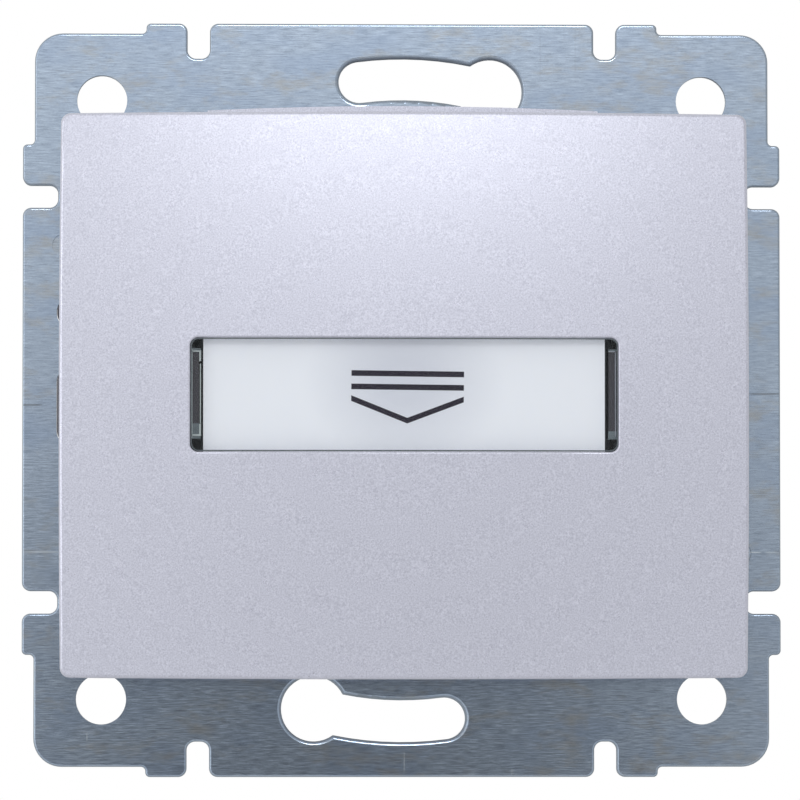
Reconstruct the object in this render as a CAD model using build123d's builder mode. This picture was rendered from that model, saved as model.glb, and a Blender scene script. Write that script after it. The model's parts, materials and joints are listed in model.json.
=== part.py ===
from build123d import *
from math import asin, cos, pi, radians, sin, sqrt
import os

os.makedirs("parts", exist_ok=True)

# Hotel key card switch for a 60 mm wall box. Lengths are in millimetres.
# X runs to the right, Y into the wall and Z up. The origin is the centre of the frame's rear face.

# Fits shared by several pieces
overrun = 1.0
slide_fit = 0.1
snug_fit = 0.05
free_gap = 0.3

# Mounting frame
sheet = 1.0
frame_width = 71.0
frame_height = 70.6
side_step = 1.1
end_step = 0.95
corner_round = 2.65
tab_inset = 10.45
step_round_share = 0.44
notch_inset = 4.9
notch_width = 2.1
notch_depth = 3.3
notch_round = 0.8
die_roll = 0.2
slot_roll = 0.35
corner_hole_inset = 6.3
corner_hole = 4.7
key_rim = 3.25
key_head = 6.08
key_slot = 3.9
key_head_angle = 15.9
key_end_angle = 7.6
opening_gap = 1.5
opening_round = 3.6
side_window_inset = 3.2
side_window_width = 3.0
side_window_round = 1.3
side_windows = ((-0.68, 7.2), (8.1, 2.8))
dimple_inset = 3.8
dimple_height = 14.4
dimple = 2.1
dimple_depth = 0.2
lug_width = 14.0
lug_length = 8.0
lug_window_width = 4.6
lug_window_start = 2.6
lug_window_end = 6.0

# Rear housing
floor_gap = 1.532
head_inset = 0.85
body_corner = 7.0
body_round = 0.8
wall = 1.5
pocket_width = 18.8
pocket_round = 0.6
switch_pocket_top = -4.4
lamp_pocket_top = 6.0
lamp_pocket_floor = 5.0
lead_pocket_top = 16.0
lead_slot = 1.6
saddle_width = 1.2
saddle_place = 2.2
side_pocket_width = 2.5
side_pocket_height = 24.0
side_pocket_depth = 16.0
screw_place = 15.6
screw_seat = 6.1

# Front housing
plate = 2.0
plate_height = 48.6
plate_round = 2.0
rail_gap = 1.4
rail_width = 2.1
rib_width = 1.2
rib_places = (10.0, 20.0)
rib_lead = 0.7
stop_height = -18.4
stop_width = 1.6
stop_gap = 16.0
boss = 5.0
boss_length = 5.0

# Card and its channel
card_width = 54.0
card_play = 1.5
channel_rear = -4.4
channel_front = -6.6

# Cover
cover_side_gap = 0.4
cover_end_gap = 0.3
cover_bow = 0.15
cover_corner = 0.9
cover_wall = 1.6
cover_rear = -1.2
cover_front = -11.0
cover_face = 2.6
crown_radius = 600.0
edge_round = 0.3
window_edge_round = 0.15
window_width = 39.5
window_height = 10.55
window_round = 0.75
lip_span = 36.4
lip_thickness = 1.3
lip_rise = 1.05
lip_end_rise = 0.6
clip_place = 12.0
clip_width = 5.0
clip_bite = 0.6
clip_length = 1.3

# Lens and legend
lens_recess = 0.12
lens_depth = 1.6
lens_leg = 1.05
lens_leg_height = 8.2
lens_leg_reach = 1.2
lens_hook = 0.6
legend_thickness = 1.2
legend_bead = 0.3

# Lamp
lamp_window_width = 16.0
lamp_window_height = 6.8
lamp_window_flange = 0.8
lamp_window_rim = 1.2
lamp_height = 1.0
lamp_depth = 2.4
lamp_diameter = 4.4
lamp_length = 10.4
cap_length = 2.0
cap_wall = 0.15
cap_end = 0.5
lead = 0.6
lead_bend = 0.9
lead_place = 8.0
lead_height = 11.0
resistor = 2.4
resistor_waist = 1.9
resistor_end = 1.5
resistor_length = 6.4
resistor_start = 4.5

# Card lever
pivot_depth = 3.0
pivot_height = -9.0
pin = 1.6
pin_fit = 0.02
hub = 4.4
toe_depth = -5.6
toe_height = -14.5
toe_tip = 1.4
toe_root = 3.2
toe_width = 5.0
push_depth = 3.3
push_drop = 0.7
push_tip = 2.0
push_root = 3.2
push_width = 3.0
lever_turn = 16.0
hub_width = 6.2
ear = 1.5
ear_round = 3.8
slot_play = 0.7

# Plunger and contacts
plunger_width = 5.0
plunger_length = 7.6
plunger_window_start = 1.8
plunger_window_end = 5.7
plunger_window_height = 3.6
stem = 2.4
cheek = 1.6
cheek_lead = 0.2
cheek_length = 4.2
cheek_rise = 2.8
guide_boss = 5.6
guide_boss_length = 3.4
bridge_length = 16.0
bridge_width = 3.2
bridge_thickness = 0.6
rivet = 2.6
rivet_height = 0.6
rivet_place = 6.2
contact_rest = 0.05
return_wire = 0.4
return_coil = 3.8
return_turns = 6
contact_wire = 0.3
contact_coil = 2.4
contact_turns = 4

# Terminals
terminal_place = 14.5
strip = 0.8
strip_height = 5.0
bar_width = 4.6
bar_height = 13.6
bar_overhang = 0.5
lamp_strip_reach = 7.0
load_strip_reach = 4.6
terminal_screw = 3.0
terminal_screw_length = 5.0
terminal_head = 4.2
terminal_head_height = 2.0
screw_slot = 0.8
screw_slot_depth = 1.0
cage_width = 6.8
cage_depth = 5.8
cage_wall = 0.8
cage_nut = 1.5
cage_opening = 6.0
cage_round = 0.5
cage_travel = 2.5
tooth = 0.4
tooth_count = 4
entry = 3.4
entry_flare = 0.8

# Screws that join the housings
housing_screw = 2.4
housing_screw_length = 7.6
housing_head = 4.6
housing_head_height = 1.8


def facing(depth):
    """The plane at one depth, seen from the front: its x is X, its y is Z."""
    return Plane.XZ.offset(-depth)


def crossing(reach):
    """The plane across the part at one reach to the right: its x is Y, its y is Z."""
    return Plane.YZ.offset(reach)


def biarc(start, start_way, end, end_way):
    """Two arcs that leave start along start_way and reach end along end_way."""
    chord = end - start
    ways = start_way + end_way
    turned = 1 - start_way.dot(end_way)
    along = chord.dot(ways)
    reach = (sqrt(along**2 + 2 * turned * chord.dot(chord)) - along) / (2 * turned)
    first = start + start_way * reach
    second = end - end_way * reach
    middle = (first + second) / 2
    return [
        Edge.make_tangent_arc(start, start_way, middle),
        Edge.make_tangent_arc(middle, (second - first).normalized(), end),
    ]


def coil_path(radius, height, front, rear, wire, turns):
    """A compression spring's centre line along Y: half turns of two arcs, with straight ends."""
    halves = 2 * turns
    first = front + wire / 2
    step = (rear - front - wire) / halves
    points = []
    ways = []
    for count in range(halves + 1):
        side = cos(pi * count)
        points.append(Vector(radius * side, first + step * count, height))
        ways.append(Vector(0, step, pi * radius * side).normalized())
    edges = [Edge.make_line(points[0] - ways[0] * wire, points[0])]
    for count in range(halves):
        edges += biarc(points[count], ways[count], points[count + 1], ways[count + 1])
    edges.append(Edge.make_line(points[-1], points[-1] + ways[-1] * wire))
    pitch = 2 * step
    slope = asin(pitch / (2 * pi * radius))
    print("spring: least gap between turns", round(pitch * cos(slope) - wire, 3))
    return Wire(edges)


# Heights of a terminal, counted outwards from the middle of the part
bar_inner = bar_height - strip
screw_tip = bar_height + snug_fit
head_seat = screw_tip + terminal_screw_length
head_end = head_seat + terminal_head_height
cage_top = head_seat - snug_fit - slide_fit - cage_travel
cage_bottom = cage_top - cage_nut - cage_opening - cage_wall
chamber_end = head_seat - snug_fit
chamber_start = cage_bottom - free_gap
chamber_width = cage_width + 2 * free_gap
entry_height = (cage_bottom + cage_wall + bar_inner) / 2
strip_middles = (bar_height - strip_height / 2, bar_inner + strip_height / 2)
push_height = -strip_middles[1] - push_drop

# Width and height of the rear housing and of the frame's opening round it
side_pocket_start = terminal_place + chamber_width / 2 + wall
side_pocket_end = side_pocket_start + side_pocket_width
body_edge = side_pocket_end + wall
body_width = 2 * body_edge
body_height = 2 * (head_end + head_inset)
opening_edge = body_edge + sheet + free_gap
opening_width = 2 * opening_edge
opening_height = body_height + 2 * opening_gap

# Mounting frame: stamped sheet with rolled front edges and two folded lugs
frame_edge = frame_width / 2
frame_top = frame_height / 2
span_edge = frame_edge - side_step
span_top = frame_top - end_step
tab_edge = span_edge - tab_inset
tab_top = span_top - tab_inset
notch_across = tab_edge - notch_inset
notch_up = tab_top - notch_inset
key_radius = frame_top - key_rim - key_slot / 2
slot_line = Edge.make_circle(key_radius, start_angle=90 - key_head_angle, end_angle=90 + key_end_angle)
hair = sheet / 100

with BuildPart() as mounting_frame:
    with BuildSketch(facing(0)) as frame_outline:
        RectangleRounded(2 * span_edge, 2 * span_top, corner_round)
        Rectangle(frame_width, 2 * tab_top)
        Rectangle(2 * tab_edge, frame_height)
        steps = [
            v
            for v in frame_outline.vertices()
            if min(abs(abs(v.X) - tab_edge), abs(abs(v.Y) - tab_top)) < hair
        ]
        fillet(steps, radius=step_round_share * min(side_step, end_step))
        with GridLocations(2 * notch_across, frame_height, 2, 2):
            Rectangle(notch_width, 2 * notch_depth, mode=Mode.SUBTRACT)
        with GridLocations(frame_width, 2 * notch_up, 2, 2):
            Rectangle(2 * notch_depth, notch_width, mode=Mode.SUBTRACT)
        notches = [
            v
            for v in frame_outline.vertices()
            if min(
                abs(abs(abs(v.X) - notch_across) - notch_width / 2),
                abs(abs(abs(v.Y) - notch_up) - notch_width / 2),
            ) < hair
        ]
        fillet(notches, radius=notch_round)
        with PolarLocations(0, 2):
            SlotArc(arc=slot_line, height=key_slot, mode=Mode.SUBTRACT)
        with PolarLocations(key_radius, 2, start_angle=90 - key_head_angle):
            Circle(key_head / 2, mode=Mode.SUBTRACT)
        hole_edge = span_edge - corner_hole_inset
        hole_top = span_top - corner_hole_inset
        with GridLocations(2 * hole_edge, 2 * hole_top, 2, 2):
            Circle(corner_hole / 2, mode=Mode.SUBTRACT)
    extrude(amount=sheet)
    slots = [w for w in mounting_frame.faces().sort_by(Axis.Y)[0].inner_wires() if len(w.edges()) > 1]
    fillet([e for w in slots for e in w.edges()], radius=slot_roll)
    fillet(mounting_frame.faces().sort_by(Axis.Y)[0].outer_wire().edges(), radius=die_roll)
    with BuildSketch(facing(overrun)):
        RectangleRounded(opening_width, opening_height, opening_round)
        for place, height in side_windows:
            with PolarLocations(0, 2):
                with Locations((side_window_inset + side_window_width / 2 - frame_edge, place)):
                    RectangleRounded(side_window_width, height, side_window_round)
    extrude(amount=sheet + 2 * overrun, mode=Mode.SUBTRACT)
    with BuildSketch(facing(-sheet)):
        with PolarLocations(0, 2):
            with Locations((dimple_inset - frame_edge, dimple_height)):
                Circle(dimple / 2)
    extrude(amount=-dimple_depth, mode=Mode.SUBTRACT)
    with BuildSketch(facing(lug_length)):
        with GridLocations(opening_width - sheet, 0, 2, 1):
            Rectangle(sheet, lug_width)
    extrude(amount=lug_length + sheet)
    bends = mounting_frame.edges().filter_by(Axis.Z).group_by(Axis.Y)[0]
    fillet([e for e in bends if abs(abs(e.center().X) - opening_edge + sheet) < hair], radius=sheet - hair)
    lug_ends = mounting_frame.edges().filter_by(Axis.X).group_by(Axis.Y)[-1]
    chamfer(lug_ends, length=sheet)
    window_middle = (lug_window_start + lug_window_end) / 2
    with BuildSketch(crossing(-opening_edge - overrun)):
        with Locations((window_middle, 0)):
            Rectangle(lug_window_end - lug_window_start, lug_window_width)
    extrude(amount=opening_width + 2 * overrun, mode=Mode.SUBTRACT)
mounting_frame.part.label = "mounting_frame"
export_step(mounting_frame.part, "parts/mounting_frame.step")

# Depths that follow from the lever's turn: the plunger, the bridge, the contacts and the strips
turn = radians(lever_turn)
push_reach = push_depth - pivot_depth
push_fall = pivot_height - push_height
plunger_travel = push_reach * cos(turn) + push_fall * sin(turn) - push_reach
plunger_front = push_depth + push_tip / 2 + free_gap
plunger_rear = plunger_front + plunger_length
bridge_rear = plunger_front + plunger_window_end
bridge_front = bridge_rear - bridge_thickness
rivet_front = bridge_rear + rivet_height + plunger_travel + contact_rest
strip_front = rivet_front + rivet_height
strip_rear = strip_front + strip
cage_front = strip_rear + free_gap
cage_rear = cage_front + cage_depth
screw_depth = (cage_front + cage_rear) / 2
bar_end = cage_rear + bar_overhang
body_floor = bar_end + floor_gap
body_depth = body_floor + wall + slide_fit
stem_end = body_floor - plunger_travel - free_gap
print("plunger travel", round(plunger_travel, 4), "per radian", round(plunger_travel / turn, 4))

# Rear housing: moulded body in the frame's opening, open to the front
body_front = -sheet
pocket_edge = pocket_width / 2
switch_pocket_bottom = wall - body_height / 2
lamp_pocket_bottom = switch_pocket_top + wall
lead_pocket_bottom = lamp_pocket_top + wall
cheek_place = plunger_width / 2 + slide_fit
cheek_top = push_height + cheek_rise
cheek_end = plunger_front - cheek_lead + cheek_length
boss_seat = body_front + boss_length + slide_fit

with BuildPart() as rear_housing:
    with BuildSketch(facing(body_depth)) as body_outline:
        Rectangle(body_width, body_height)
        chamfer(body_outline.vertices(), length=body_corner)
    extrude(amount=body_depth - body_front)
    fillet(rear_housing.faces().sort_by(Axis.Y)[-1].edges(), radius=body_round)
    for top, bottom, floor in (
        (switch_pocket_top, switch_pocket_bottom, body_floor),
        (lamp_pocket_top, lamp_pocket_bottom, lamp_pocket_floor),
        (lead_pocket_top, lead_pocket_bottom, body_floor),
    ):
        with BuildSketch(facing(floor)):
            with Locations((0, (top + bottom) / 2)):
                RectangleRounded(pocket_width, top - bottom, pocket_round)
        extrude(amount=floor - body_front + overrun, mode=Mode.SUBTRACT)
    with BuildSketch(facing(lamp_depth + lead_slot / 2)):
        with Locations((0, (lamp_pocket_top + lead_pocket_bottom) / 2)):
            with GridLocations(2 * lead_place, 0, 2, 1):
                Rectangle(lead_slot, 2 * wall)
    extrude(amount=lamp_depth + lead_slot / 2 - body_front + overrun, mode=Mode.SUBTRACT)
    with BuildSketch(facing(body_floor)):
        with GridLocations(2 * terminal_place, chamber_start + chamber_end, 2, 2):
            RectangleRounded(chamber_width, chamber_end - chamber_start, pocket_round)
    extrude(amount=body_floor - body_front + overrun, mode=Mode.SUBTRACT)
    with BuildSketch(facing(side_pocket_depth)):
        with GridLocations(side_pocket_start + side_pocket_end, 0, 2, 1):
            RectangleRounded(side_pocket_end - side_pocket_start, side_pocket_height, pocket_round)
    extrude(amount=side_pocket_depth - body_front + overrun, mode=Mode.SUBTRACT)
    for middle in (strip_middles[0], -strip_middles[1]):
        with BuildSketch(facing(strip_rear)):
            with Locations((0, middle)):
                with GridLocations(2 * pocket_edge + wall, 0, 2, 1):
                    Rectangle(2 * wall, strip_height + 2 * slide_fit)
        extrude(amount=strip_rear - body_front + overrun, mode=Mode.SUBTRACT)
    with BuildSketch(Plane.XY.offset(-body_height / 2 - overrun)):
        with Locations((0, screw_depth)):
            with GridLocations(2 * terminal_place, 0, 2, 1):
                Circle(terminal_head / 2 + slide_fit)
    extrude(amount=body_height / 2 + overrun - chamber_start - cage_wall, mode=Mode.SUBTRACT)
    with BuildSketch(Plane.XY.offset(body_height / 2 + overrun)):
        with Locations((0, screw_depth)):
            with GridLocations(2 * terminal_place, 0, 2, 1):
                Circle(terminal_head / 2 + slide_fit)
    extrude(amount=chamber_start + cage_wall - body_height / 2 - overrun, mode=Mode.SUBTRACT)
    with BuildSketch(facing(body_depth + overrun)):
        with GridLocations(2 * terminal_place, 2 * entry_height, 2, 2):
            RectangleRounded(entry, entry, entry / 5)
    extrude(amount=body_depth + overrun - body_floor + overrun, mode=Mode.SUBTRACT)
    entry_edges = [
        e
        for e in rear_housing.faces().sort_by(Axis.Y)[-1].edges()
        if abs(abs(e.center().X) - terminal_place) < entry
    ]
    chamfer([e for e in entry_edges if abs(abs(e.center().Z) - entry_height) < entry], length=entry_flare)
    with BuildSketch(facing(boss_seat)):
        with GridLocations(2 * screw_place, 0, 2, 1):
            Circle(boss / 2 + slide_fit)
    extrude(amount=boss_seat - body_front + overrun, mode=Mode.SUBTRACT)
    with BuildSketch(facing(screw_seat + overrun)):
        with GridLocations(2 * screw_place, 0, 2, 1):
            Circle(housing_screw / 2 + slide_fit)
    extrude(amount=screw_seat + overrun - body_front, mode=Mode.SUBTRACT)
    with BuildSketch(facing(body_depth + overrun)):
        with GridLocations(2 * screw_place, 0, 2, 1):
            Circle(housing_head / 2 + slide_fit)
    extrude(amount=body_depth + overrun - screw_seat, mode=Mode.SUBTRACT)
    with BuildSketch(facing(lamp_pocket_floor)):
        with Locations((0, lamp_height)):
            with GridLocations(2 * saddle_place + saddle_width, 0, 2, 1):
                Rectangle(saddle_width, lamp_diameter + 2 * wall)
    extrude(amount=lamp_pocket_floor - lamp_depth)
    with BuildSketch(crossing(-saddle_place - saddle_width - overrun)):
        with Locations((lamp_depth, lamp_height)):
            Circle(lamp_diameter / 2 + snug_fit)
    extrude(amount=2 * (saddle_place + saddle_width + overrun), mode=Mode.SUBTRACT)
    with BuildSketch(facing(cheek_end)):
        with Locations((0, (switch_pocket_bottom + cheek_top) / 2)):
            with GridLocations(2 * cheek_place + cheek, 0, 2, 1):
                Rectangle(cheek, cheek_top - switch_pocket_bottom)
    extrude(amount=cheek_length)
    with BuildSketch(facing(body_floor)):
        with Locations((0, push_height)):
            Circle(guide_boss / 2)
    extrude(amount=guide_boss_length)
    with BuildSketch(facing(body_floor)):
        with Locations((0, push_height)):
            Circle(stem / 2 + slide_fit)
    extrude(amount=guide_boss_length + overrun, mode=Mode.SUBTRACT)
    for side in (-1, 1):
        with BuildSketch(Plane.XY.offset(-lug_window_width / 2 + free_gap)):
            with BuildLine():
                hook_reach = side * (opening_edge - slide_fit)
                Polyline(
                    (side * (body_edge - overrun), lug_window_start + free_gap),
                    (side * body_edge, lug_window_start + free_gap),
                    (hook_reach, lug_window_end - body_round),
                    (hook_reach, lug_window_end),
                    (side * (body_edge - overrun), lug_window_end),
                    close=True,
                )
            make_face()
        extrude(amount=lug_window_width - 2 * free_gap)
rear_housing.part.label = "rear_housing"
export_step(rear_housing.part, "parts/rear_housing.step")

# Front housing: card channel in front of the frame
plate_front = body_front - plate
channel_width = card_width + card_play
cover_inside = cover_front + cover_face
rail_front = cover_inside + rail_gap
rail_edge = channel_width / 2
plate_width = channel_width + 2 * rail_width
plate_edge = plate_width / 2
toe_slot_top = pivot_height - free_gap - toe_root / 4
toe_slot_bottom = stop_height + slot_play
lever_side = hub_width / 2 + free_gap

with BuildPart() as front_housing:
    with BuildSketch(facing(body_front)):
        RectangleRounded(plate_width, plate_height, plate_round)
    extrude(amount=plate)
    with BuildSketch(facing(plate_front)):
        with GridLocations(channel_width + rail_width, 0, 2, 1):
            Rectangle(rail_width, plate_height - 2 * plate_round)
        with Locations((0, stop_height - stop_width / 2)):
            with GridLocations(rail_edge + stop_gap / 2, 0, 2, 1):
                Rectangle(rail_edge - stop_gap / 2 + rail_width / 2, stop_width)
    extrude(amount=plate_front - rail_front)
    rail_ends = front_housing.edges().filter_by(Axis.Y).group_by(Axis.Y)[0].group_by(Axis.Z)[-1]
    chamfer([e for e in rail_ends if abs(abs(e.center().X) - rail_edge) < hair], length=rail_width / 2)
    with BuildSketch(facing(plate_front)):
        for place in rib_places:
            with Locations((0, (plate_height / 2 + stop_height) / 2)):
                with GridLocations(2 * place, 0, 2, 1):
                    Rectangle(rib_width, plate_height / 2 - stop_height)
    extrude(amount=plate_front - channel_rear)
    rib_tops = [
        e
        for e in front_housing.edges().filter_by(Axis.X).group_by(Axis.Z)[-1]
        if abs(e.center().Y - channel_rear) < hair
    ]
    chamfer(rib_tops, length=rib_lead)
    with BuildSketch(facing(body_front)):
        with Locations((0, (toe_slot_top + toe_slot_bottom) / 2)):
            RectangleRounded(toe_width + 2 * slot_play, toe_slot_top - toe_slot_bottom, pocket_round)
        with Locations((0, lamp_height)):
            RectangleRounded(lamp_window_width, lamp_window_height, pocket_round)
    extrude(amount=plate, mode=Mode.SUBTRACT)
    with BuildSketch(facing(body_front)):
        with GridLocations(plate_width, 2 * clip_place, 2, 2):
            Rectangle(2 * (clip_bite + free_gap), clip_width + 2 * free_gap)
    extrude(amount=plate, mode=Mode.SUBTRACT)
    with BuildSketch(facing(-slide_fit)):
        for place, height in side_windows:
            with PolarLocations(0, 2):
                with Locations((side_window_inset + side_window_width / 2 - frame_edge, place)):
                    RectangleRounded(
                        side_window_width - 2 * snug_fit, height - 2 * snug_fit, side_window_round - snug_fit
                    )
    extrude(amount=sheet - slide_fit)
    with BuildSketch(facing(body_front)):
        with GridLocations(2 * screw_place, 0, 2, 1):
            Circle(boss / 2)
    extrude(amount=-boss_length)
    with BuildSketch(facing(boss_seat + overrun)):
        with GridLocations(2 * screw_place, 0, 2, 1):
            Circle(housing_screw / 2 + snug_fit)
    extrude(amount=boss_length + plate / 2 + overrun, mode=Mode.SUBTRACT)
    for side in (-1, 1):
        with BuildSketch(crossing(side * lever_side)):
            with Locations((pivot_depth, pivot_height)):
                Circle(ear_round / 2)
            with Locations(((pivot_depth + body_front) / 2, pivot_height)):
                Rectangle(pivot_depth - body_front, ear_round)
            with Locations((pivot_depth, pivot_height)):
                Circle(pin / 2 + pin_fit, mode=Mode.SUBTRACT)
        extrude(amount=side * ear)
front_housing.part.label = "front_housing"
export_step(front_housing.part, "parts/front_housing.step")

# Cover: crowned shell with a card slot along its top
inner_edge = plate_edge + cover_side_gap
inner_top = plate_height / 2 + cover_end_gap
half_width = inner_edge + cover_wall
half_height = inner_top + cover_wall
crown = Pos(0, cover_front + crown_radius, 0) * Sphere(crown_radius)

with BuildPart() as front_cover:
    with BuildSketch(facing(cover_rear)) as cover_outline:
        with BuildLine():
            for quarter in range(4):
                across, up = ((1, 1), (-1, 1), (-1, -1), (1, -1))[quarter]
                next_across, next_up = ((-1, 1), (-1, -1), (1, -1), (1, 1))[quarter]
                ThreePointArc(
                    (across * (half_width - cover_bow), up * (half_height - cover_bow)),
                    (half_width * (across + next_across) / 2, half_height * (up + next_up) / 2),
                    (next_across * (half_width - cover_bow), next_up * (half_height - cover_bow)),
                )
        make_face()
        fillet(cover_outline.vertices(), radius=cover_corner)
    extrude(amount=cover_rear - cover_front + overrun)
    add(crown, mode=Mode.INTERSECT)
    fillet(front_cover.faces().sort_by(Axis.Y)[0].edges(), radius=edge_round)
    with BuildSketch(facing(cover_rear)):
        RectangleRounded(2 * inner_edge, 2 * inner_top, cover_corner / 2)
    extrude(amount=cover_rear - cover_inside, mode=Mode.SUBTRACT)
    with BuildSketch(facing(cover_inside)):
        RectangleRounded(window_width, window_height, window_round)
    extrude(amount=cover_face + overrun, mode=Mode.SUBTRACT)
    window_edges = [
        e
        for e in front_cover.edges().filter_by(lambda e: e.center().Y < cover_front + cover_face / 2)
        if abs(e.center().X) < window_width / 2 + hair and abs(e.center().Z) < window_height / 2 + hair
    ]
    fillet(window_edges, radius=window_edge_round)
    with BuildSketch(facing(channel_rear)):
        with Locations((0, half_height - cover_wall / 2)):
            Rectangle(channel_width, cover_wall + overrun)
    extrude(amount=channel_rear - channel_front, mode=Mode.SUBTRACT)
    with BuildSketch(facing(channel_rear + lip_thickness)):
        with BuildLine():
            lip_left = (-lip_span / 2, half_height + lip_end_rise)
            lip_right = (lip_span / 2, half_height + lip_end_rise)
            ThreePointArc(lip_left, (0, half_height + lip_rise), lip_right)
            Polyline(
                lip_right,
                (lip_span / 2, half_height - cover_wall / 2),
                (-lip_span / 2, half_height - cover_wall / 2),
                lip_left,
            )
        make_face()
    extrude(amount=lip_thickness)
    for side in (-1, 1):
        clip_reach = plate_edge - clip_bite
        for place in (-clip_place, clip_place):
            with BuildSketch(Plane.XY.offset(place - clip_width / 2)):
                with BuildLine():
                    Polyline(
                        (side * (inner_edge + cover_wall / 2), plate_front),
                        (side * clip_reach, plate_front),
                        (side * inner_edge, plate_front + clip_length),
                        (side * (inner_edge + cover_wall / 2), plate_front + clip_length),
                        close=True,
                    )
                make_face()
            extrude(amount=clip_width)
front_cover.part.label = "front_cover"
export_step(front_cover.part, "parts/front_cover.step")

# Lens: clear pane with two legs that hook behind the cover and hold the legend
lens_width = window_width - 2 * snug_fit
lens_height = window_height - 2 * snug_fit
lens_crown = Pos(0, cover_front + lens_recess + crown_radius, 0) * Sphere(crown_radius)
lens_back = cover_front + lens_depth
lens_leg_end = cover_inside + lens_leg_reach
leg_outer = lens_width / 2
leg_inner = leg_outer - lens_leg
legend_rear = lens_back + legend_thickness

with BuildPart() as window_lens:
    with BuildSketch(facing(lens_back)):
        RectangleRounded(lens_width, lens_height, window_round)
    extrude(amount=lens_back - cover_front + overrun)
    add(lens_crown, mode=Mode.INTERSECT)
    with BuildSketch(Plane.XY.offset(-lens_leg_height / 2)):
        for side in (-1, 1):
            with BuildLine():
                Polyline(
                    (side * leg_inner, lens_back - slide_fit),
                    (side * leg_inner, legend_rear),
                    (side * (leg_inner - legend_bead), legend_rear),
                    (side * leg_inner, legend_rear + legend_bead),
                    (side * leg_inner, lens_leg_end),
                    (side * leg_outer, lens_leg_end),
                    (side * (leg_outer + lens_hook), cover_inside),
                    (side * leg_outer, cover_inside),
                    (side * leg_outer, lens_back - slide_fit),
                    close=True,
                )
            make_face()
    extrude(amount=lens_leg_height)
window_lens.part.label = "window_lens"
export_step(window_lens.part, "parts/window_lens.step")

# Legend plate: opal sheet behind the lens
with BuildPart() as legend_plate:
    with BuildSketch(facing(legend_rear)):
        Rectangle(2 * (leg_inner - slide_fit), lens_height)
    extrude(amount=legend_thickness - snug_fit)
legend_plate.part.label = "legend_plate"
export_step(legend_plate.part, "parts/legend_plate.step")

# Lamp window: clear pane set into the front housing from behind
with BuildPart() as lamp_window:
    with BuildSketch(facing(body_front)):
        with Locations((0, lamp_height)):
            RectangleRounded(
                lamp_window_width - 2 * snug_fit, lamp_window_height - 2 * snug_fit, pocket_round
            )
    extrude(amount=plate)
    with BuildSketch(facing(body_front)):
        with Locations((0, lamp_height)):
            Rectangle(lamp_window_width + 2 * lamp_window_rim, lamp_window_height)
    extrude(amount=-lamp_window_flange)
lamp_window.part.label = "lamp_window"
export_step(lamp_window.part, "parts/lamp_window.step")

# Lamp: glass tube with a metal cap on each end
lamp_radius = lamp_diameter / 2
cap_start = lamp_length / 2 - cap_length + cap_end
cap_outer = lamp_length / 2 + cap_end

with BuildPart() as neon_lamp:
    with BuildSketch(crossing(-lamp_length / 2)):
        with Locations((lamp_depth, lamp_height)):
            Circle(lamp_radius)
    extrude(amount=lamp_length)
    fillet(neon_lamp.edges(), radius=lamp_radius / 2)
neon_lamp.part.label = "neon_lamp"
export_step(neon_lamp.part, "parts/neon_lamp.step")

with BuildPart() as lamp_caps:
    for side in (-1, 1):
        with BuildSketch(crossing(side * cap_start)):
            with Locations((lamp_depth, lamp_height)):
                Circle(lamp_radius + snug_fit + cap_wall)
        extrude(amount=side * cap_length)
        with BuildSketch(crossing(side * cap_start)):
            with Locations((lamp_depth, lamp_height)):
                Circle(lamp_radius + snug_fit)
        extrude(amount=side * (cap_length - cap_end), mode=Mode.SUBTRACT)
lamp_caps.part.label = "lamp_caps"
export_step(lamp_caps.part, "parts/lamp_caps.step")

# Lamp leads: one runs to its strip, the other to the resistor
for side, name, lead_end in (
    (-1, "lamp_lead_left", strip_rear + lead),
    (1, "lamp_lead_right", resistor_start),
):
    with BuildPart() as lamp_lead:
        with BuildLine() as lead_path:
            FilletPolyline(
                (side * cap_outer, lamp_depth, lamp_height),
                (side * lead_place, lamp_depth, lamp_height),
                (side * lead_place, lamp_depth, lead_height),
                (side * lead_place, lead_end, lead_height),
                radius=lead_bend,
            )
        with BuildSketch(crossing(side * cap_outer)):
            with Locations((lamp_depth, lamp_height)):
                Circle(lead / 2)
        sweep(path=lead_path.line)
    lamp_lead.part.label = name
    export_step(lamp_lead.part, f"parts/{name}.step")

# Resistor: round body with a thicker cap at each end, in line with the right lead
with BuildPart() as lamp_resistor:
    with BuildSketch(Plane.YX.offset(-lead_height)):
        with Locations((resistor_start + resistor_length / 2, lead_place + resistor_waist / 4)):
            Rectangle(resistor_length, resistor_waist / 2)
        for place in (resistor_end / 2, resistor_length - resistor_end / 2):
            with Locations((resistor_start + place, lead_place + resistor / 4)):
                Rectangle(resistor_end, resistor / 2)
    revolve(axis=Axis((lead_place, 0, lead_height), (0, 1, 0)))
    with BuildSketch(facing(strip_rear + lead)):
        with Locations((lead_place, lead_height)):
            Circle(lead / 2)
    extrude(amount=strip_rear + lead - resistor_start - resistor_length)
lamp_resistor.part.label = "lamp_resistor"
export_step(lamp_resistor.part, "parts/lamp_resistor.step")

# Card lever: hub with a toe in the card channel and an arm that pushes the plunger
with BuildPart() as card_lever:
    for width, root, tip, depth, height in (
        (toe_width, toe_root, toe_tip, toe_depth, toe_height),
        (push_width, push_root, push_tip, push_depth, push_height),
    ):
        with BuildSketch(crossing(0)):
            with Locations((pivot_depth, pivot_height)):
                Circle(root / 2)
            with Locations((depth, height)):
                Circle(tip / 2)
            make_hull()
        extrude(amount=width / 2, both=True)
    with BuildSketch(crossing(0)):
        with Locations((pivot_depth, pivot_height)):
            Circle(hub / 2)
    extrude(amount=hub_width / 2, both=True)
    with BuildSketch(crossing(0)):
        with Locations((pivot_depth, pivot_height)):
            Circle(pin / 2 + snug_fit)
    extrude(amount=hub_width, both=True, mode=Mode.SUBTRACT)
card_lever.part.label = "card_lever"
export_step(card_lever.part, "parts/card_lever.step")

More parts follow.
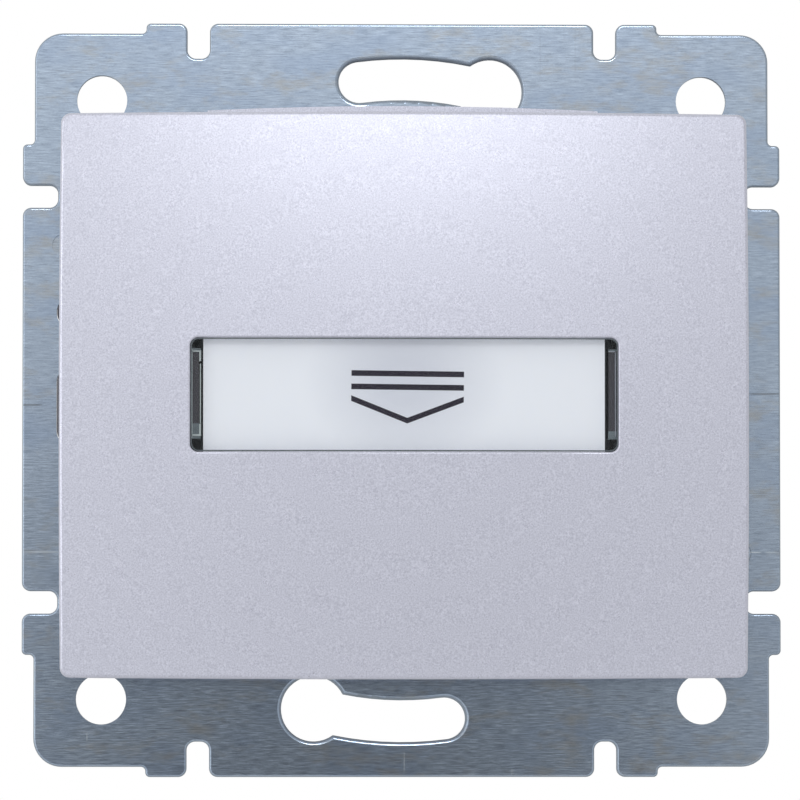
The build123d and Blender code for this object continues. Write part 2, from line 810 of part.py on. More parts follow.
with BuildPart() as lever_pin:
    with BuildSketch(crossing(0)):
        with Locations((pivot_depth, pivot_height)):
            Circle(pin / 2)
    extrude(amount=lever_side + ear, both=True)
lever_pin.part.label = "lever_pin"
export_step(lever_pin.part, "parts/lever_pin.step")

# Plunger: block with a window for the bridge, on a stem that runs in the rear boss
with BuildPart() as switch_plunger:
    with BuildSketch(facing(plunger_rear)):
        with Locations((0, push_height)):
            RectangleRounded(plunger_width, plunger_width, pocket_round)
    extrude(amount=plunger_length)
    with BuildSketch(crossing(-plunger_width)):
        with Locations((plunger_front + (plunger_window_start + plunger_window_end) / 2, push_height)):
            Rectangle(plunger_window_end - plunger_window_start, plunger_window_height)
    extrude(amount=2 * plunger_width, mode=Mode.SUBTRACT)
    with BuildSketch(facing(stem_end)):
        with Locations((0, push_height)):
            Circle(stem / 2)
    extrude(amount=stem_end - plunger_rear)
switch_plunger.part.label = "switch_plunger"
export_step(switch_plunger.part, "parts/switch_plunger.step")

with BuildPart() as moving_contact:
    with BuildSketch(facing(bridge_rear)):
        with Locations((0, push_height)):
            SlotOverall(bridge_length, bridge_width)
    extrude(amount=bridge_thickness)
moving_contact.part.label = "moving_contact"
export_step(moving_contact.part, "parts/moving_contact.step")

# Silver rivet heads on the bridge and on the two load strips
for name, rear in (("moving_rivets", bridge_rear + rivet_height), ("fixed_rivets", strip_front)):
    with BuildPart() as rivets:
        with BuildSketch(facing(rear)):
            with Locations((0, push_height)):
                with GridLocations(2 * rivet_place, 0, 2, 1):
                    Circle(rivet / 2)
        extrude(amount=rivet_height)
    rivets.part.label = name
    export_step(rivets.part, f"parts/{name}.step")

# Springs: one holds the bridge in the plunger, the other returns the plunger
spring_seat = plunger_front + plunger_window_start
guide_end = body_floor - guide_boss_length
for name, coil, wire, front, rear, turns in (
    ("contact_spring", contact_coil, contact_wire, spring_seat, bridge_front, contact_turns),
    ("return_spring", return_coil, return_wire, plunger_rear, guide_end, return_turns),
):
    spring_line = coil_path(coil / 2, push_height, front, rear, wire, turns)
    with BuildPart() as spring:
        with BuildSketch(Plane(origin=spring_line @ 0, z_dir=spring_line % 0)):
            Circle(wire / 2)
        sweep(path=spring_line)
    spring.part.label = name
    export_step(spring.part, f"parts/{name}.step")

# Strips: bent brass, each with a bar that a clamp cage closes on
for name, side, up, reach in (
    ("lamp_strip", -1, 1, lamp_strip_reach),
    ("neutral_strip", 1, 1, lamp_strip_reach),
    ("line_strip", -1, -1, load_strip_reach),
    ("load_strip", 1, -1, load_strip_reach),
):
    middle = strip_middles[0] if up > 0 else -strip_middles[1]
    outer = terminal_place + bar_width / 2
    with BuildPart() as contact_strip:
        with BuildSketch(facing(strip_rear)):
            with Locations((side * (reach + outer) / 2, middle)):
                Rectangle(outer - reach, strip_height)
        extrude(amount=strip)
        with BuildSketch(facing(bar_end)):
            with Locations((side * terminal_place, up * (bar_height - strip / 2))):
                Rectangle(bar_width, strip)
        extrude(amount=bar_end - strip_front)
        if up > 0:
            with BuildSketch(facing(strip_rear)):
                with Locations((side * lead_place, lead_height)):
                    Circle(lead / 2 + slide_fit)
            extrude(amount=strip, mode=Mode.SUBTRACT)
    contact_strip.part.label = name
    export_step(contact_strip.part, f"parts/{name}.step")

# Terminals: a slotted screw and a rising cage at each corner of the rear housing
corners = [(-1, 1), (1, 1), (-1, -1), (1, -1)]
for number, (side, up) in enumerate(corners, start=1):
    screw_base = Plane(
        origin=(side * terminal_place, screw_depth, up * screw_tip), x_dir=(1, 0, 0), z_dir=(0, 0, up)
    )
    with BuildPart() as screw:
        with BuildSketch(screw_base):
            Circle(terminal_screw / 2)
        extrude(amount=terminal_screw_length)
        with BuildSketch(screw_base.offset(terminal_screw_length)):
            Circle(terminal_head / 2)
        extrude(amount=terminal_head_height)
        with BuildSketch(screw_base.offset(head_end - screw_tip - screw_slot_depth)):
            Rectangle(2 * terminal_head, screw_slot)
        extrude(amount=screw_slot_depth + overrun, mode=Mode.SUBTRACT)
    screw.part.label = f"terminal_screw_{number}"
    export_step(screw.part, f"parts/terminal_screw_{number}.step")

    cage_middle = up * (cage_top + cage_bottom) / 2
    window_centre = up * (cage_bottom + cage_wall + cage_opening / 2)
    with BuildPart() as cage:
        with BuildSketch(facing(cage_rear)):
            with Locations((side * terminal_place, cage_middle)):
                RectangleRounded(cage_width, cage_top - cage_bottom, cage_round)
            with Locations((side * terminal_place, window_centre)):
                Rectangle(cage_width - 2 * cage_wall, cage_opening, mode=Mode.SUBTRACT)
        extrude(amount=cage_depth)
        with BuildSketch(screw_base):
            Circle(terminal_screw / 2 + snug_fit)
        extrude(amount=terminal_screw_length, mode=Mode.SUBTRACT)
        with BuildSketch(crossing(side * terminal_place - (cage_width / 2 - cage_wall))):
            with Locations((screw_depth, up * (cage_bottom + cage_wall))):
                with GridLocations(cage_depth / tooth_count, 0, tooth_count, 1):
                    Rectangle(tooth, tooth, rotation=45)
        extrude(amount=cage_width - 2 * cage_wall, mode=Mode.SUBTRACT)
    cage.part.label = f"clamp_cage_{number}"
    export_step(cage.part, f"parts/clamp_cage_{number}.step")

# Screws that join the two housings through the rear one
with BuildPart() as housing_screws:
    with BuildSketch(facing(screw_seat)):
        with GridLocations(2 * screw_place, 0, 2, 1):
            Circle(housing_screw / 2)
    extrude(amount=housing_screw_length)
    with BuildSketch(facing(screw_seat)):
        with GridLocations(2 * screw_place, 0, 2, 1):
            Circle(housing_head / 2)
    extrude(amount=-housing_head_height)
    with BuildSketch(facing(screw_seat + housing_head_height)):
        with GridLocations(2 * screw_place, 0, 2, 1):
            Rectangle(housing_head / 2, screw_slot)
            Rectangle(screw_slot, housing_head / 2)
    extrude(amount=screw_slot_depth, mode=Mode.SUBTRACT)
housing_screws.part.label = "housing_screws"
export_step(housing_screws.part, "parts/housing_screws.step")
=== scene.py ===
"""Looks of the hotel key card switch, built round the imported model."""
import json
import math

import bpy
import bmesh
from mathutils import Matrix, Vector


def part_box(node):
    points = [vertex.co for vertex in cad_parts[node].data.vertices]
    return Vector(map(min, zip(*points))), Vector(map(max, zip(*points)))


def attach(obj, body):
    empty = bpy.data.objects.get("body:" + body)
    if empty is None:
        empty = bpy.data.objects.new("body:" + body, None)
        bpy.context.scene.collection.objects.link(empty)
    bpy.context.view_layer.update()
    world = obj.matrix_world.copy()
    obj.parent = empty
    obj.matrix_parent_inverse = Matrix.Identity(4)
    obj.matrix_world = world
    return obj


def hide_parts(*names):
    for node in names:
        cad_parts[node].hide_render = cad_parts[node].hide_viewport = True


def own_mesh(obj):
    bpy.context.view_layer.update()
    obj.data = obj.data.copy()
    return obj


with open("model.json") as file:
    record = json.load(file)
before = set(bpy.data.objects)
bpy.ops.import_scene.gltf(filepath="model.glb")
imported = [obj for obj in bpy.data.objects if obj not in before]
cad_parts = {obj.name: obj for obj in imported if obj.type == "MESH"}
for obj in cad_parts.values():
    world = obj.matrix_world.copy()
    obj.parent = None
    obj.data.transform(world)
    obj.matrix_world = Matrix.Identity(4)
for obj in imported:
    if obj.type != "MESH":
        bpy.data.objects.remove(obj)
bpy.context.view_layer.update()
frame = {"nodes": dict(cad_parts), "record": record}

MM = 0.001

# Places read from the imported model
lens_low, lens_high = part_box("window_lens")
legend_low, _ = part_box("legend_plate")


def srgb(red, green, blue):
    """A colour written as the photograph shows it, 0 to 255, as linear values."""
    channels = []
    for value in (red, green, blue):
        share = value / 255
        channels.append(share / 12.92 if share <= 0.04045 else ((share + 0.055) / 1.055) ** 2.4)
    return (*channels, 1.0)


def grey(value):
    return (value, value, value, 1.0)


class Nodes:
    """A node tree that grows by one node at a time."""

    # Sockets of a colour mix, which share their names with those of its other types
    MIX_FACTOR, MIX_FIRST, MIX_SECOND = 0, 6, 7
    MIX_RESULT = 2

    def __init__(self, tree):
        self.nodes = tree.nodes
        self.links = tree.links

    def put(self, value, socket):
        """Sets a socket to a constant, or links it to the output of another node."""
        if isinstance(value, bpy.types.NodeSocket):
            self.links.new(value, socket)
        else:
            socket.default_value = value

    def add(self, kind, values=None, **options):
        """A new node, with values for its sockets and options for its properties."""
        node = self.nodes.new(kind)
        for key, value in options.items():
            setattr(node, key, value)
        for key, value in (values or {}).items():
            self.put(value, node.inputs[key])
        return node

    def mix(self, factor, first, second):
        values = {self.MIX_FACTOR: factor, self.MIX_FIRST: first, self.MIX_SECOND: second}
        return self.add("ShaderNodeMix", values, data_type="RGBA").outputs[self.MIX_RESULT]

    def math(self, operation, *values):
        return self.add("ShaderNodeMath", dict(enumerate(values)), operation=operation).outputs[0]

    def vector_math(self, operation, *values):
        node = self.add("ShaderNodeVectorMath", dict(enumerate(values)), operation=operation)
        return node.outputs

    def spread(self, value, low, high, from_low=0.0, from_high=1.0, shape="LINEAR"):
        """A value moved from one range to another, and held at the ends."""
        values = {"Value": value, "To Min": low, "To Max": high}
        values.update({"From Min": from_low, "From Max": from_high})
        return self.add("ShaderNodeMapRange", values, interpolation_type=shape).outputs["Result"]


class Material(Nodes):
    """A material built round its shader."""

    # Where the soft edge of a bar begins and ends, in shares of its half size
    BAR_EDGE = (0.7, 1.3)

    def __init__(self, name):
        self.material = bpy.data.materials.new(name)
        self.material.use_nodes = True
        super().__init__(self.material.node_tree)
        self.shader = self.nodes["Principled BSDF"]

    def set(self, **values):
        """Sets the shader's sockets, whose names are written with _ for each space."""
        for key, value in values.items():
            self.put(value, self.shader.inputs[key.replace("_", " ")])

    def place(self, scale=(1, 1, 1)):
        """Object coordinates in millimetres, stretched by scale."""
        found = self.add("ShaderNodeTexCoord").outputs["Object"]
        in_mm = [factor / MM for factor in scale]
        return self.add("ShaderNodeMapping", {"Vector": found, "Scale": in_mm}).outputs["Vector"]

    def noise(self, scale, detail, roughness):
        """Noise with so many waves per millimetre in x, y and z."""
        values = {
            "Vector": self.place(scale), "Scale": 1.0, "Detail": detail, "Roughness": roughness,
        }
        return self.add("ShaderNodeTexNoise", values).outputs["Fac"]

    def bar(self, vector, centre, half, strength):
        """A soft-edged bar of the given half sizes in x and z."""
        offset = self.vector_math("SUBTRACT", vector, (centre[0], 0, centre[1]))["Vector"]
        parts = self.add("ShaderNodeSeparateXYZ", {"Vector": offset}).outputs
        across = self.math("DIVIDE", self.math("ABSOLUTE", parts["X"]), half[0])
        up = self.math("DIVIDE", self.math("ABSOLUTE", parts["Z"]), half[1])
        return self.spread(self.math("MAXIMUM", across, up), strength, 0.0, *self.BAR_EDGE)

    def oval(self, centre, reach, full):
        """1 within full of the reach in x and z, and 0 outside the reach."""
        place = self.place((1 / reach[0], 0, 1 / reach[1]))
        middle = (centre[0] / reach[0], 0, centre[1] / reach[1])
        offset = self.vector_math("SUBTRACT", place, middle)["Vector"]
        return self.spread(self.vector_math("LENGTH", offset)["Value"], 1.0, 0.0, full, 1.0)

    def turned_from_y(self, away, facing):
        """0 on surfaces that face the part's front or back, 1 on those turned away from both."""
        normal = self.add("ShaderNodeTexCoord").outputs["Normal"]
        depth = self.add("ShaderNodeSeparateXYZ", {"Vector": normal}).outputs["Y"]
        return self.spread(self.math("ABSOLUTE", depth), 1.0, 0.0, away, facing)

    def bump(self, height, strength, distance):
        values = {"Height": height, "Strength": strength, "Distance": distance}
        return self.add("ShaderNodeBump", values).outputs["Normal"]


# Share of y in the normal at which a cut edge, or a rolled one, is full and at which it ends
CUT_EDGE = (0.7, 0.97)
ROLLED_EDGE = (0.85, 0.995)
# Marks scribed and scratched into the frame: centre in x and z, half sizes in x and z, strength
DARK_MARK = srgb(84, 84, 82)
DARK_MARKS = (
    ((-34.7, -0.55), (0.9, 0.07), 0.60),
    ((34.0, 0.56), (1.4, 0.09), 0.45),
    ((13.0, 32.6), (0.05, 2.0), 0.10),
    ((16.3, 32.4), (0.05, 2.2), 0.10),
)
LIGHT_MARK = srgb(214, 224, 232)
LIGHT_MARKS = (
    ((-33.5, -14.3), (1.5, 0.06), 0.60),
    ((33.1, -14.3), (0.5, 0.06), 0.70),
    ((34.6, -14.3), (0.5, 0.05), 0.45),
    ((33.2, -24.0), (0.8, 0.05), 0.30),
    ((0.23, -33.9), (0.07, 0.9), 0.45),
    ((-22.9, -33.9), (2.2, 0.04), 0.30),
    ((-29.4, -31.6), (0.06, 0.35), 0.45),
    ((10.3, -34.8), (0.12, 0.25), 0.40),
)


def galvanised_steel():
    """Sheet steel with a horizontal rolling grain, bluish with brown patches and dull edges."""
    made = Material("galvanised_steel")
    grain = made.noise((0.7, 4.0, 8.5), 3.0, 0.65)
    grit = made.noise((5.0, 5.0, 12.0), 1.0, 0.6)
    warm = made.noise((0.20, 0.5, 0.50), 4.0, 0.65)
    cold = made.noise((0.13, 0.3, 0.24), 3.0, 0.6)
    streaks = made.spread(grain, 0.0, 1.0, 0.3, 0.7)
    tone = made.mix(streaks, srgb(136, 150, 167), srgb(180, 195, 213))
    for share, colour in (
        (made.spread(grit, 0.0, 0.25, 0.45, 0.75), srgb(204, 216, 230)),
        (made.spread(cold, 0.0, 0.35, 0.45, 0.65), srgb(142, 161, 188)),
        (made.spread(warm, 0.0, 0.45, 0.53, 0.70), srgb(168, 164, 152)),
    ):
        tone = made.mix(share, tone, colour)
    place = made.place()
    for marks, colour in ((DARK_MARKS, DARK_MARK), (LIGHT_MARKS, LIGHT_MARK)):
        for centre, half, strength in marks:
            tone = made.mix(made.bar(place, centre, half, strength), tone, colour)
    tone = made.mix(made.turned_from_y(*CUT_EDGE), tone, srgb(156, 166, 176))
    rolled = made.turned_from_y(*ROLLED_EDGE)
    gloss = made.spread(grain, 0.10, 0.18)
    made.set(
        Base_Color=tone,
        Metallic=made.spread(rolled, 0.92, 0.55),
        Roughness=made.math("MAXIMUM", gloss, made.math("MULTIPLY", rolled, 0.7)),
        Normal=made.bump(grain, 0.06, 0.02 * MM),
    )
    return made.material


def pearl_lacquer():
    """Silver lacquer with fine metal flakes on moulded plastic, with a painted highlight that makes
    its rounded edges paler.
    """
    made = Material("pearl_lacquer")
    flakes = made.noise((7.0, 7.0, 7.0), 1.0, 0.6)
    cloud = made.noise((0.9, 0.9, 0.9), 2.0, 0.5)
    speckle = made.spread(flakes, 0.0, 1.0, 0.25, 0.75)
    tone = made.mix(speckle, srgb(184, 186, 200), srgb(220, 222, 236))
    tone = made.mix(made.spread(cloud, 0.0, 0.2, 0.4, 0.7), tone, srgb(195, 197, 210))
    edges = made.turned_from_y(*CUT_EDGE)
    # Painted highlight: the rounded edges get a paler tone
    tone = made.mix(made.math("MULTIPLY", edges, 0.6), tone, srgb(206, 207, 219))
    made.set(
        Base_Color=tone,
        Metallic=made.spread(edges, 0.42, 0.15),
        Roughness=made.spread(cloud, 0.26, 0.30),
        Normal=made.bump(flakes, 0.01, 0.02 * MM),
    )
    return made.material


def clear_plastic():
    """Clear polycarbonate, seen through, with soft moulding marks."""
    made = Material("clear_plastic")
    ripple = made.noise((0.2, 0.2, 0.2), 1.0, 0.4)
    facing = made.add("ShaderNodeLayerWeight", {"Blend": 0.5}).outputs["Facing"]
    made.set(
        Base_Color=made.mix(ripple, srgb(204, 214, 218), srgb(216, 224, 228)),
        Roughness=made.spread(ripple, 0.03, 0.06),
        Alpha=made.spread(facing, 0.02, 0.35, 0.6, 1.0),
        Normal=made.bump(ripple, 0.02, 0.1 * MM),
    )
    return made.material


# Painted shade on the legend round the printed sign, reaching further up than down: centre and
# reach in x and z, and its full share
PAINTED_SHADE_CENTRE = (0.1, 1.2)
PAINTED_SHADE_REACH = (9.5, 7.5)
PAINTED_SHADE_FULL = 0.25


def opal_plastic():
    """Translucent white plastic, with painted shade round the printed sign."""
    made = Material("opal_plastic")
    grain = made.noise((2.0, 2.0, 2.0), 3.0, 0.6)
    tone = made.mix(grain, srgb(241, 246, 255), srgb(246, 250, 255))
    # Painted shade: the legend is darkened in an oval round the sign
    shade = made.oval(PAINTED_SHADE_CENTRE, PAINTED_SHADE_REACH, PAINTED_SHADE_FULL)
    made.set(
        Base_Color=made.mix(shade, tone, srgb(216, 221, 232)),
        Roughness=made.spread(grain, 0.35, 0.5),
        Normal=made.bump(grain, 0.05, 0.03 * MM),
    )
    return made.material


def lamp_glass():
    """Thin glass with a faint warm haze."""
    made = Material("lamp_glass")
    haze = made.noise((0.8, 0.8, 0.8), 2.0, 0.5)
    made.set(
        Base_Color=made.mix(haze, srgb(236, 214, 196), srgb(246, 236, 226)),
        Roughness=made.spread(haze, 0.04, 0.12),
        Alpha=0.35,
    )
    return made.material


def moulded(name, dark, light, waves=4.0, rough=(0.42, 0.58), relief=0.2, specular=0.5):
    """Moulded plastic with a fine spark-eroded grain."""
    made = Material(name)
    grain = made.noise((waves, waves, waves), 3.0, 0.6)
    cloud = made.noise((0.25, 0.25, 0.25), 2.0, 0.5)
    tone = made.mix(grain, srgb(*dark), srgb(*light))
    tone = made.mix(made.spread(cloud, 0.0, 0.35, 0.4, 0.7), tone, srgb(*dark))
    made.set(
        Base_Color=tone,
        Roughness=made.spread(grain, *rough),
        Specular_IOR_Level=specular,
        Normal=made.bump(grain, relief, 0.03 * MM),
    )
    return made.material


def painted_lens_face(name, dark, light):
    """A smooth face inside the clear plastic, for the light and shade painted in the lens."""
    return moulded(name, dark, light, waves=3.0, rough=(0.2, 0.3), relief=0.02)


def metal(name, dark, light, scale):
    """Bare or plated metal with drawn or turned marks."""
    made = Material(name)
    grain = made.noise(scale, 4.0, 0.6)
    spots = made.noise((0.6, 0.6, 0.6), 3.0, 0.6)
    tone = made.mix(grain, srgb(*dark), srgb(*light))
    tone = made.mix(made.spread(spots, 0.0, 0.4, 0.5, 0.75), tone, srgb(*dark))
    made.set(
        Base_Color=tone,
        Metallic=1.0,
        Roughness=made.spread(grain, 0.22, 0.42),
        Normal=made.bump(grain, 0.15, 0.02 * MM),
    )
    return made.material


OWN_LOOKS = {
    "galvanised_steel": galvanised_steel,
    "pearl_lacquer": pearl_lacquer,
    "clear_plastic": clear_plastic,
    "opal_plastic": opal_plastic,
    "lamp_glass": lamp_glass,
}
# Dark and light colour, waves of the grain per millimetre, roughness
PLASTICS = {
    "black_plastic": ((52, 52, 62), (68, 68, 80)),
    "white_plastic": ((214, 214, 208), (228, 228, 222), 3.0),
    "resistor_lacquer": ((176, 146, 104), (196, 168, 128), 2.5, (0.2, 0.35)),
}
# Dark and light colour, waves of the grain per millimetre in x, y and z
METALS = {
    "tinned_metal": ((176, 178, 182), (216, 217, 220), (2.0, 2.0, 2.0)),
    "spring_steel": ((150, 152, 158), (196, 198, 202), (6.0, 1.0, 6.0)),
    "silver": ((206, 206, 202), (236, 236, 232), (3.0, 3.0, 3.0)),
    "brass": ((196, 160, 92), (228, 198, 132), (0.6, 4.0, 4.0)),
    "zinc_steel": ((168, 172, 172), (214, 216, 214), (3.0, 3.0, 3.0)),
}


def apply_materials():
    """Gives every node the material of its slot, and returns the materials by slot."""
    looks = {slot: make() for slot, make in OWN_LOOKS.items()}
    looks.update((slot, moulded(slot, *values)) for slot, values in PLASTICS.items())
    looks.update((slot, metal(slot, *values)) for slot, values in METALS.items())
    for part in frame["record"]["subparts"]:
        thing = frame["nodes"][part["node"]]
        thing.data.materials.clear()
        thing.data.materials.append(looks[part["material_slot"]])
    return looks


def new_piece(name, body, material):
    """An empty piece that rides on a body."""
    mesh = bpy.data.meshes.new(name)
    piece = bpy.data.objects.new(name, mesh)
    bpy.context.scene.collection.objects.link(piece)
    mesh.materials.append(material)
    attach(piece, body)
    return piece


def give_mesh(piece, made):
    """Hands a piece its finished mesh, with all faces turned outwards."""
    bmesh.ops.recalc_face_normals(made, faces=made.faces)
    made.to_mesh(piece.data)
    made.free()


def join_rings(made, first, second):
    """Faces between two rings of as many points."""
    count = len(first)
    for index in range(count):
        following = (index + 1) % count
        made.faces.new((first[index], first[following], second[following], second[index]))


def prism(made, corners, rear, front):
    """A flat solid with the given corners in x and z, from one depth to another."""
    rear_ring = [made.verts.new((x, rear, z)) for x, z in corners]
    front_ring = [made.verts.new((x, front, z)) for x, z in corners]
    made.faces.new(front_ring)
    made.faces.new(list(reversed(rear_ring)))
    join_rings(made, rear_ring, front_ring)


# The printed sign, measured on the legend: two bars and a shallow chevron below them
SIGN_WIDTH = 10.4 * MM
SIGN_STROKE = 0.52 * MM
SIGN_TILT = math.radians(-0.7)
SIGN_CENTRE = (0.31 * MM, -0.03 * MM)
BAR_HEIGHTS = (2.02 * MM, 0.78 * MM)
CHEVRON_TOP = -0.04 * MM
CHEVRON_DROP = 2.02 * MM
INK_PROUD = 0.01 * MM
INK_DEPTH = 0.06 * MM


def sign_shapes():
    """The corners of the sign's bars and chevron, before it is tilted."""
    half = SIGN_WIDTH / 2
    shapes = []
    for height in BAR_HEIGHTS:
        low = height - SIGN_STROKE / 2
        high = height + SIGN_STROKE / 2
        shapes.append([(-half, low), (half, low), (half, high), (-half, high)])
    apex = CHEVRON_TOP - CHEVRON_DROP
    lower = [(-half, CHEVRON_TOP - SIGN_STROKE), (0, apex - SIGN_STROKE)]
    lower.append((half, CHEVRON_TOP - SIGN_STROKE))
    shapes.append(lower + [(half, CHEVRON_TOP), (0, apex), (-half, CHEVRON_TOP)])
    return shapes


def printed_sign():
    """The ink of the sign, a thin layer on the legend."""
    ink = moulded("sign_ink", (25, 18, 34), (39, 32, 50), 6.0, (0.6, 0.7), 0.05, specular=0.15)
    sign = new_piece("printed_sign", "root", ink)
    cosine, sine = math.cos(SIGN_TILT), math.sin(SIGN_TILT)
    front = legend_low.y - INK_PROUD
    made = bmesh.new()
    for shape in sign_shapes():
        turned = [
            (SIGN_CENTRE[0] + x * cosine - z * sine, SIGN_CENTRE[1] + x * sine + z * cosine)
            for x, z in shape
        ]
        prism(made, turned, front + INK_DEPTH, front)
    give_mesh(sign, made)


# The lens: its crowned front, the rim painted dark on it as the shade of the gap round the lens,
# and the hooks that reach past the window
CROWN_RADIUS = 600 * MM
LENS_HOOK = 0.6 * MM
RIM_WIDTH = 0.11 * MM
RIM_CORNER = 0.75 * MM
RIM_STEPS = 8
RIM_SPAN = 1.5 * MM
RIM_PROUD = 0.01 * MM
EDGE_DEPTH = 0.08 * MM


def crowned(x, z, front):
    """The depth of the crowned front at one place."""
    return front + (x * x + z * z) / (2 * CROWN_RADIUS)


def rounded_outline(half_width, half_height, corner):
    """Points round a rounded rectangle, on its corners and along its sides."""
    points = []
    for index, (across, up) in enumerate(((1, 1), (-1, 1), (-1, -1), (1, -1))):
        centre = Vector((across * (half_width - corner), up * (half_height - corner)))
        for step in range(RIM_STEPS + 1):
            angle = math.radians(90 * (index + step / RIM_STEPS))
            points.append(centre + corner * Vector((math.cos(angle), math.sin(angle))))
    dense = []
    for near, far in zip(points, points[1:] + points[:1]):
        parts = max(1, round((far - near).length / RIM_SPAN))
        dense += [near.lerp(far, part / parts) for part in range(parts)]
    return dense


def lens_rim_shade():
    """A thin dark frame round the lens that follows the crown: painted shade of the gap between
    lens and cover, seen in the lens's bevel.
    """
    # Painted shade: the rim is coloured as the dark gap round the lens
    bevel_shade = painted_lens_face("lens_bevel_shade", (66, 74, 80), (96, 106, 112))
    rim = new_piece("lens_rim_shade", "root", bevel_shade)
    half_width = (lens_high.x - lens_low.x) / 2 - LENS_HOOK
    half_height = (lens_high.z - lens_low.z) / 2
    outer = rounded_outline(half_width, half_height, RIM_CORNER)
    inner = rounded_outline(
        half_width - RIM_WIDTH, half_height - RIM_WIDTH, RIM_CORNER - RIM_WIDTH
    )
    front = lens_low.y - RIM_PROUD
    rear = front + EDGE_DEPTH
    made = bmesh.new()
    loops = [
        [made.verts.new((x, crowned(x, z, depth), z)) for x, z in loop]
        for loop, depth in ((outer, rear), (outer, front), (inner, front), (inner, rear))
    ]
    for near_loop, far_loop in zip(loops, loops[1:] + loops[:1]):
        join_rings(made, near_loop, far_loop)
    give_mesh(rim, made)


# The legs' faces, each set EDGE_DEPTH behind the last, all painted light and shade: the edges and
# blocks are painted highlights, the bodies painted shade. From and to in x and in z, in millimetres
LEG_DEPTH = 1.75 * MM
LEG_SIDES = {"left": -1, "right": 1}
# Sets of the legs: edges and blocks are painted highlights, bodies are painted shade
LEG_SETS = ("edges", "blocks", "bodies")
PAINTED_LEG_FACES = {
    ("left", "edges"): (
        (19.55, 19.67, -4.00, 4.30),
        (18.75, 19.67, 4.00, 4.13),
        (18.75, 18.92, 3.13, 4.00),
        (18.76, 18.86, -2.58, 2.90),
        (18.75, 18.92, -3.60, -2.64),
        (18.75, 19.67, -3.78, -3.60),
    ),
    ("left", "blocks"): (
        (18.78, 19.55, 4.13, 4.34),
        (18.92, 19.55, -3.60, -2.62),
        (18.78, 19.55, -4.02, -3.78),
    ),
    ("left", "bodies"): (
        (18.92, 19.55, -2.62, 4.00),
    ),
    ("right", "edges"): (
        (19.50, 19.58, -3.80, 4.10),
        (18.90, 19.58, 4.02, 4.12),
    ),
    ("right", "blocks"): (
        (18.90, 19.70, 4.12, 4.26),
        (18.86, 19.70, -4.06, -3.30),
    ),
    ("right", "bodies"): (
        (18.90, 19.50, -3.30, 4.02),
        (19.58, 19.70, -3.30, 4.10),
    ),
}


def painted_leg_faces():
    """The lens's legs as painted light and shade: bright edges and lighter blocks are painted
    highlights inside the clear plastic, on dark bodies of painted shade.
    """
    # Painted highlights: the bright lines and lighter blocks of the legs
    line = painted_lens_face("leg_line_highlight", (178, 192, 192), (208, 218, 218))
    faint = painted_lens_face("leg_faint_highlight", (148, 154, 164), (174, 180, 190))
    block = painted_lens_face("leg_block_highlight", (92, 106, 112), (118, 130, 136))
    # Painted shade: the dark bodies of the legs
    body = painted_lens_face("leg_body_shade", (44, 44, 52), (56, 56, 66))
    materials = {"left": (line, block, body), "right": (faint, block, body)}
    for side_name, side in LEG_SIDES.items():
        rear = lens_low.y + LEG_DEPTH
        for set_name, material in zip(LEG_SETS, materials[side_name]):
            name = f"lens_leg_{set_name}_{side_name}"
            piece = new_piece(name, "root", material)
            made = bmesh.new()
            for face in PAINTED_LEG_FACES[side_name, set_name]:
                near, far, low, high = (value * MM for value in face)
                near, far = side * near, side * far
                corners = [(near, low), (far, low), (far, high), (near, high)]
                prism(made, corners, rear, rear - EDGE_DEPTH)
            give_mesh(piece, made)
            rear += EDGE_DEPTH


def shortening_spring(steel):
    """The return spring's coils, a copy of the spring's mesh that rides on the root."""
    node = frame["nodes"]["return_spring"]
    coils = new_piece("return_spring_coils", "root", steel)
    coils.data = node.data.copy()
    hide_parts("return_spring")
    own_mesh(coils)


ORIGIN = Vector((0, 0, 0))


def look_at(thing, target):
    thing.rotation_euler = (target - thing.location).to_track_quat("-Z", "Y").to_euler()


# The camera: a little to the left of the object and below it, as in the photograph
CAMERA_DISTANCE = 600 * MM
CAMERA_LEFT = math.radians(1.5)
CAMERA_BELOW = math.radians(2.7)
CAMERA_SHIFT = (-0.0019, 0.0)
VIEW_WIDTH = 75.05 * MM
SENSOR = 36.0
CLIP_START = 10 * MM


def add_camera():
    data = bpy.data.cameras.new("camera")
    data.sensor_width = SENSOR
    data.lens = SENSOR * CAMERA_DISTANCE / VIEW_WIDTH
    data.shift_x, data.shift_y = CAMERA_SHIFT
    data.clip_start = CLIP_START
    camera = bpy.data.objects.new("camera", data)
    bpy.context.scene.collection.objects.link(camera)
    flat = CAMERA_DISTANCE * math.cos(CAMERA_BELOW)
    camera.location = (
        -flat * math.sin(CAMERA_LEFT),
        -flat * math.cos(CAMERA_LEFT),
        -CAMERA_DISTANCE * math.sin(CAMERA_BELOW),
    )
    look_at(camera, ORIGIN)
    bpy.context.scene.camera = camera


# The lamps: place, width and height in metres, and power in watts
LAMPS = {
    "top_softbox": ((0.018, -0.66, 0.23), (0.15, 0.13), 0.52),
    "left_fill": ((-0.55, -0.45, 0.10), (0.3, 0.4), 0.8),
}
LAMP_COLOUR = (0.98, 0.98, 1.0)


def add_lights():
    for name, (place, size, power) in LAMPS.items():
        data = bpy.data.lights.new(name, "AREA")
        data.shape = "RECTANGLE"
        data.size, data.size_y = size
        data.energy = power
        data.color = LAMP_COLOUR
        lamp = bpy.data.objects.new(name, data)
        bpy.context.scene.collection.objects.link(lamp)
        lamp.location = place
        look_at(lamp, ORIGIN)


# The studio as a light: its greys, and the ways in z between which it goes from one to the other
LOW_GREY = 0.56
HIGH_GREY = 0.66
RISE_FROM = -0.10
RISE_TO = 0.12
# The dark place that the camera leaves in the studio: its way from the object and its reach
STAND_WAY = Vector((0.015, -1.0, -0.03)).normalized()
STAND_REACH = math.radians(6.1)
STAND_GREY = 0.02
# The studio's right side is duller than its left: ways in x between which it falls off, and how far
DULL_FROM = 0.03
DULL_TO = 0.22
DULL_GREY = 0.68


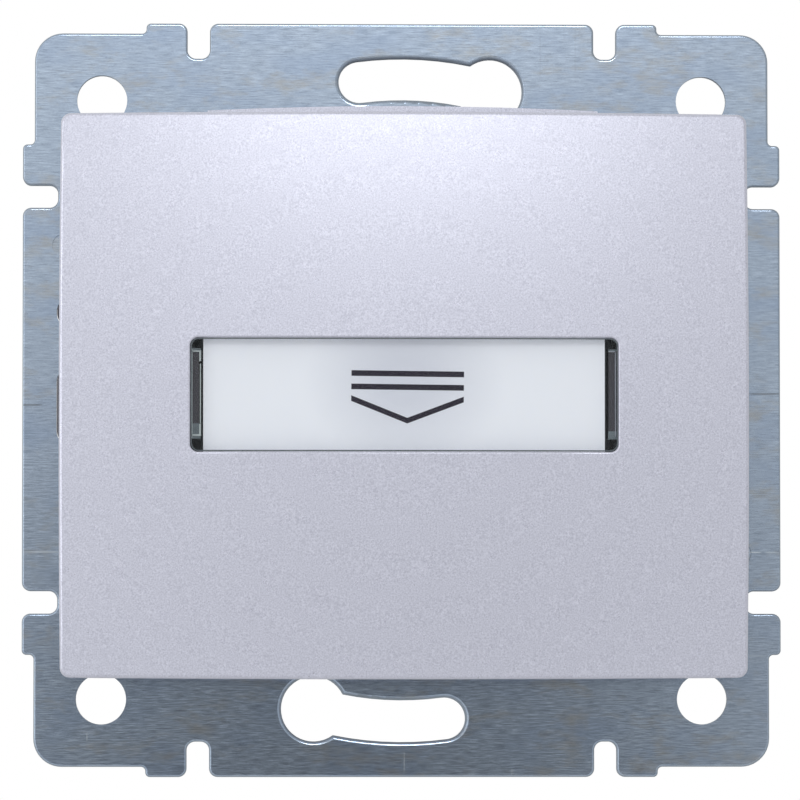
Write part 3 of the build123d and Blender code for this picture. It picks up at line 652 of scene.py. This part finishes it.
def add_world():
    """White as a background, also in metal and glass, and a plain studio as a light."""
    world = bpy.data.worlds.new("studio")
    bpy.context.scene.world = world
    world.use_nodes = True
    made = Nodes(world.node_tree)
    made.nodes.clear()
    path = made.add("ShaderNodeLightPath")
    way = made.add("ShaderNodeTexCoord").outputs["Generated"]
    parts = made.add("ShaderNodeSeparateXYZ", {"Vector": way}).outputs

    seen = made.math("MAXIMUM", path.outputs["Is Camera Ray"], path.outputs["Is Glossy Ray"])
    seen = made.math("MAXIMUM", seen, path.outputs["Is Transmission Ray"])
    light = made.spread(parts["Z"], LOW_GREY, HIGH_GREY, RISE_FROM, RISE_TO)
    tone = made.mix(seen, light, grey(1.0))

    fall = made.spread(parts["X"], 0.0, 1.0, DULL_FROM, DULL_TO)
    toward = made.vector_math("DOT_PRODUCT", way, STAND_WAY)["Value"]
    stand = made.spread(toward, 0.0, 1.0, math.cos(STAND_REACH), 1.0, "SMOOTHSTEP")
    for share, value in ((fall, DULL_GREY), (stand, STAND_GREY)):
        in_metal = made.math("MULTIPLY", path.outputs["Is Glossy Ray"], share)
        tone = made.mix(in_metal, tone, grey(value))

    studio = made.add("ShaderNodeBackground", {"Color": tone, "Strength": 1.0})
    made.add("ShaderNodeOutputWorld", {"Surface": studio.outputs["Background"]})


FLOOR_SIZE = 1600 * MM
FLOOR_HEIGHT = -120 * MM


def add_floor():
    """The floor below the object, which takes its shadow."""
    mesh = bpy.data.meshes.new("floor")
    made = bmesh.new()
    bmesh.ops.create_grid(made, x_segments=1, y_segments=1, size=FLOOR_SIZE / 2)
    made.to_mesh(mesh)
    made.free()
    floor = bpy.data.objects.new("floor", mesh)
    bpy.context.scene.collection.objects.link(floor)
    floor.location = (0, 0, FLOOR_HEIGHT)
    paint = Material("floor")
    paint.set(Base_Color=grey(0.85), Roughness=0.9)
    mesh.materials.append(paint.material)


looks = apply_materials()
shortening_spring(looks["spring_steel"])
printed_sign()
lens_rim_shade()
painted_leg_faces()
add_camera()
add_lights()
add_world()
add_floor()
bpy.context.scene.view_settings.view_transform = "Standard"
